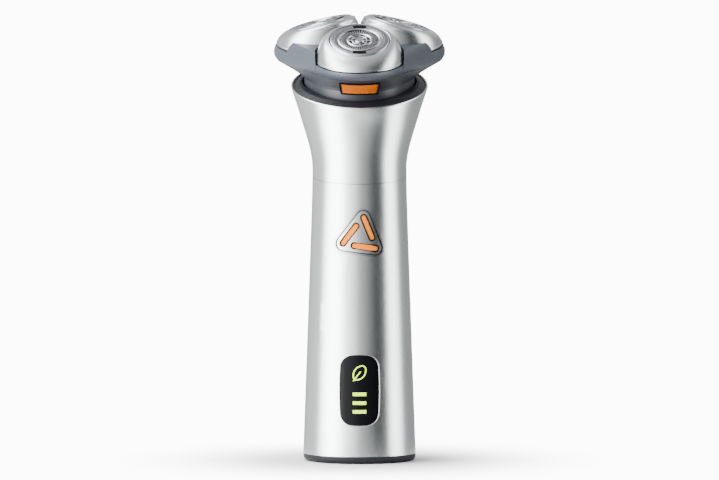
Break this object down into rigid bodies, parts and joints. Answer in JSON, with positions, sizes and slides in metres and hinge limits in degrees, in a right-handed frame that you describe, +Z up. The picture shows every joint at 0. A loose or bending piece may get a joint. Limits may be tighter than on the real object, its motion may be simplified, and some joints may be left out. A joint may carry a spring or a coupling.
{
  "type": "electric rotary shaver",
  "caption": "Cordless rotary shaver: flared satin handle, flexing round shaving heads on a tilting flip-open unit, front display and triangular button.",
  "frame": {"origin": "centre of the flat foot that the handle stands on", "axes": "+Z up the handle, -Y towards the front with the display and button, +X to the right seen from the front"},
  "size_m": [0.0632, 0.0621, 0.1646],
  "materials": {
    "satin_silver": "satin metallic",
    "silver_cover": "satin",
    "cap_steel": "polished slotted steel",
    "blade_steel": "ground",
    "plain_steel": "plated",
    "slate_plastic": "satin",
    "neck_plastic": "satin",
    "collar_plastic": "fine texture",
    "foot_plastic": "satin",
    "orange_plastic": "satin",
    "display_black": "gloss",
    "lit_green": "lit",
    "inner_plastic": "moulded",
    "white_plastic": "moulded gears",
    "board_green": "solder mask",
    "chip_black": "moulded",
    "cell_wrap": "shrink sleeve",
    "contact_brass": "plated",
    "seal_rubber": "moulded"
  },
  "bodies": {
    "handle": {"lower_casing": "satin_silver", "neck_casing": "satin_silver", "seam_sleeve": "inner_plastic", "foot_cover": "foot_plastic", "foot_screws": "plain_steel", "foot_seal": "seal_rubber", "charging_socket": "inner_plastic", "socket_pins": "contact_brass", "chassis": "inner_plastic", "battery_cell": "cell_wrap", "battery_tabs": "contact_brass", "circuit_board": "board_green", "board_chips": "chip_black", "button_switch": "chip_black", "light_guide": "inner_plastic", "display_lens": "display_black", "battery_bars": "lit_green", "leaf_mark": "lit_green", "button_bezel": "silver_cover", "motor_can": "plain_steel", "motor_end_cap": "inner_plastic", "motor_mount": "inner_plastic", "mount_screws": "plain_steel", "shaft_bush": "contact_brass", "shaft_seal": "seal_rubber", "collar_ring": "collar_plastic", "handle_deck": "inner_plastic"},
    "power_button": {"power_button": "satin_silver", "button_bars": "orange_plastic"},
    "motor_rotor": {"motor_shaft": "plain_steel", "motor_pinion": "contact_brass"},
    "drive": {"drive_gear": "white_plastic", "drive_shaft": "plain_steel"},
    "coupling": {"coupling_plug": "neck_plastic"},
    "swivel": {"swivel_ring": "neck_plastic"},
    "chamber": {"hair_chamber": "neck_plastic", "gearbox_cover": "inner_plastic", "hinge_pin": "plain_steel"},
    "release": {"release_button": "orange_plastic"},
    "central": {"central_gear": "white_plastic"},
    "frame": {"head_frame": "slate_plastic"},
    "spindle_front": {"spindle_front": "white_plastic"},
    "cover_front": {"head_cover_front": "silver_cover", "shaving_cap_front": "cap_steel", "retaining_ring_front": "inner_plastic"},
    "cutter_front": {"cutter_front": "blade_steel"},
    "spindle_right": {"spindle_right": "white_plastic"},
    "cover_right": {"head_cover_right": "silver_cover", "shaving_cap_right": "cap_steel", "retaining_ring_right": "inner_plastic"},
    "cutter_right": {"cutter_right": "blade_steel"},
    "spindle_left": {"spindle_left": "white_plastic"},
    "cover_left": {"head_cover_left": "silver_cover", "shaving_cap_left": "cap_steel", "retaining_ring_left": "inner_plastic"},
    "cutter_left": {"cutter_left": "blade_steel"}
  },
  "joints": [
    {"name": "power_press", "type": "slide", "parent": "handle", "child": "power_button", "axis": [0, 1, 0], "range_m": [0, 0.0006], "stiffness_N_per_m": 900, "springref_m": -0.0008},
    {"name": "motor_spin", "type": "hinge", "parent": "handle", "child": "motor_rotor", "pos_m": [0, -0.00629, 0.10745], "axis": [0, -0.2672, 0.9636], "continuous": true},
    {"name": "drive_spin", "type": "hinge", "parent": "handle", "child": "drive", "pos_m": [0, -0.00259, 0.12405], "axis": [0, -0.2672, 0.9636], "continuous": true},
    {"name": "unit_pull_off", "type": "slide", "parent": "handle", "child": "coupling", "axis": [0, -0.2672, 0.9636], "range_m": [0, 0.03]},
    {"name": "head_pitch", "type": "hinge", "parent": "coupling", "child": "swivel", "pos_m": [0, -0.00647, 0.13802], "axis": [1, 0, 0], "range_deg": [-2.8, 2.8], "stiffness_Nm_per_rad": 0.6},
    {"name": "head_roll", "type": "hinge", "parent": "swivel", "child": "chamber", "pos_m": [0, -0.00647, 0.13802], "axis": [0, 0.9636, 0.2672], "range_deg": [-2.8, 2.8], "stiffness_Nm_per_rad": 0.6},
    {"name": "release_press", "type": "slide", "parent": "chamber", "child": "release", "axis": [0, 0.9636, 0.2672], "range_m": [0, 0.0007], "stiffness_N_per_m": 700, "springref_m": -0.0008},
    {"name": "head_open", "type": "hinge", "parent": "chamber", "child": "frame", "pos_m": [0, 0.01533, 0.15297], "axis": [-1, 0, 0], "range_deg": [0, 95]},
    {"name": "central_spin", "type": "hinge", "parent": "chamber", "child": "central", "pos_m": [0, -0.00794, 0.14332], "axis": [0, -0.2672, 0.9636], "continuous": true},
    {"name": "spindle_spin_front", "type": "hinge", "parent": "chamber", "child": "spindle_front", "pos_m": [0, -0.02191, 0.13944], "axis": [0, -0.2672, 0.9636], "continuous": true},
    {"name": "flex_front", "type": "hinge", "parent": "frame", "child": "cover_front", "pos_m": [0, -0.03811, 0.14284], "axis": [-1, 0, 0], "range_deg": [0, 2.5], "stiffness_Nm_per_rad": 0.12, "springref_deg": -2.86},
    {"name": "cutter_spin_front", "type": "hinge", "parent": "cover_front", "child": "cutter_front", "pos_m": [0, -0.02873, 0.15468], "axis": [0, -0.5225, 0.8526], "continuous": true},
    {"name": "spindle_spin_right", "type": "hinge", "parent": "chamber", "child": "spindle_right", "pos_m": [0.01256, -0.00095, 0.14526], "axis": [0, -0.2672, 0.9636], "continuous": true},
    {"name": "flex_right", "type": "hinge", "parent": "frame", "child": "cover_right", "pos_m": [0.02529, 0.0041, 0.15454], "axis": [0.5, -0.8345, -0.2314], "range_deg": [0, 2.5], "stiffness_Nm_per_rad": 0.12, "springref_deg": -2.86},
    {"name": "cutter_spin_right", "type": "hinge", "parent": "cover_right", "child": "cutter_right", "pos_m": [0.01472, -0.00415, 0.16149], "axis": [0.2387, -0.1241, 0.9631], "continuous": true},
    {"name": "spindle_spin_left", "type": "hinge", "parent": "chamber", "child": "spindle_left", "pos_m": [-0.01256, -0.00095, 0.14526], "axis": [0, -0.2672, 0.9636], "continuous": true},
    {"name": "flex_left", "type": "hinge", "parent": "frame", "child": "cover_left", "pos_m": [-0.02529, 0.0041, 0.15454], "axis": [0.5, 0.8345, 0.2314], "range_deg": [0, 2.5], "stiffness_Nm_per_rad": 0.12, "springref_deg": -2.86},
    {"name": "cutter_spin_left", "type": "hinge", "parent": "cover_left", "child": "cutter_left", "pos_m": [-0.01472, -0.00415, 0.16149], "axis": [-0.2387, -0.1241, 0.9631], "continuous": true}
  ],
  "couplings": [
    {"joint": "drive_spin", "follows": "central_spin", "ratio": 1},
    {"joint": "motor_spin", "follows": "central_spin", "ratio": -1.6667},
    {"joint": "spindle_spin_front", "follows": "central_spin", "ratio": -1.9},
    {"joint": "cutter_spin_front", "follows": "central_spin", "ratio": -1.9},
    {"joint": "spindle_spin_right", "follows": "central_spin", "ratio": -1.9},
    {"joint": "cutter_spin_right", "follows": "central_spin", "ratio": -1.9},
    {"joint": "spindle_spin_left", "follows": "central_spin", "ratio": -1.9},
    {"joint": "cutter_spin_left", "follows": "central_spin", "ratio": -1.9}
  ]
}
